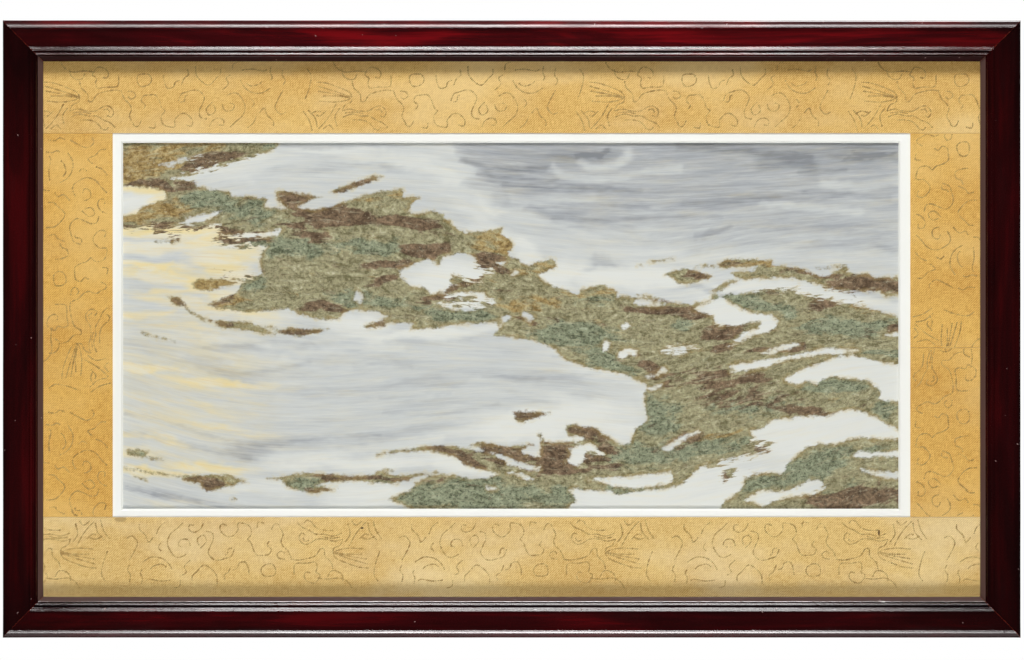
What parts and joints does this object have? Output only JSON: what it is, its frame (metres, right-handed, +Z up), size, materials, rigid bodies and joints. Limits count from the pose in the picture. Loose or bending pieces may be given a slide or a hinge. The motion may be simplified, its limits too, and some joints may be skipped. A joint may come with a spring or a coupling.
{
  "type": "framed dream stone",
  "caption": "Landscape-figured marble panel behind a white window mat with gold brocade silk strips, in a mitred lacquered moulding with ring hangers on its back.",
  "frame": {"origin": "middle of the top rail's back face, where it lies against the wall", "axes": "+X along the frame to the viewer's right of someone facing the picture, +Z up, +Y out of the back into the wall, so the stone faces -Y"},
  "size_m": [0.512, 0.0269, 0.3099],
  "materials": {
    "lacquered_wood": "dark red-black gloss lacquer, worn and chipped",
    "brocade_silk": "gold twill silk with dotted clouds and cranes",
    "white_board": "matt white faced board with a bevelled window",
    "marble": "polished, white with grey, olive and brown figure",
    "softwood": "sawn, unfinished",
    "backing_ply": "thin plywood, aged",
    "steel": "plain, slightly rusted",
    "brass": "plated, dulled"
  },
  "bodies": {
    "frame": {"frame_top_rail": "lacquered_wood", "frame_bottom_rail": "lacquered_wood", "frame_left_stile": "lacquered_wood", "frame_right_stile": "lacquered_wood", "silk_strip_top": "brocade_silk", "silk_strip_bottom": "brocade_silk", "silk_strip_left": "brocade_silk", "silk_strip_right_upper": "brocade_silk", "silk_strip_right_lower": "brocade_silk", "window_mat": "white_board", "marble_panel": "marble", "packing_board_top": "softwood", "packing_board_bottom": "softwood", "packing_board_left": "softwood", "packing_board_right": "softwood", "backing_board": "backing_ply", "panel_pin_top_1": "steel", "panel_pin_top_2": "steel", "panel_pin_top_3": "steel", "panel_pin_top_4": "steel", "panel_pin_bottom_1": "steel", "panel_pin_bottom_2": "steel", "panel_pin_bottom_3": "steel", "panel_pin_bottom_4": "steel", "panel_pin_left_1": "steel", "panel_pin_left_2": "steel", "panel_pin_left_3": "steel", "panel_pin_right_1": "steel", "panel_pin_right_2": "steel", "panel_pin_right_3": "steel", "corner_v_nail_top_left_outer": "steel", "corner_v_nail_top_left_inner": "steel", "corner_v_nail_top_right_outer": "steel", "corner_v_nail_top_right_inner": "steel", "corner_v_nail_bottom_left_outer": "steel", "corner_v_nail_bottom_left_inner": "steel", "corner_v_nail_bottom_right_outer": "steel", "corner_v_nail_bottom_right_inner": "steel", "hanger_strap_left": "brass", "hanger_strap_right": "brass", "hanger_screw_left": "brass", "hanger_screw_right": "brass"},
    "ring_left": {"hanger_ring_left": "brass"},
    "ring_right": {"hanger_ring_right": "brass"}
  },
  "joints": [
    {"name": "ring_left_swing", "type": "hinge", "parent": "frame", "child": "ring_left", "pos_m": [-0.24798, 0.0021, -0.06573], "axis": [1, 0, 0], "range_deg": [0, 180]},
    {"name": "ring_right_swing", "type": "hinge", "parent": "frame", "child": "ring_right", "pos_m": [0.24798, 0.0021, -0.06573], "axis": [1, 0, 0], "range_deg": [0, 180]}
  ]
}
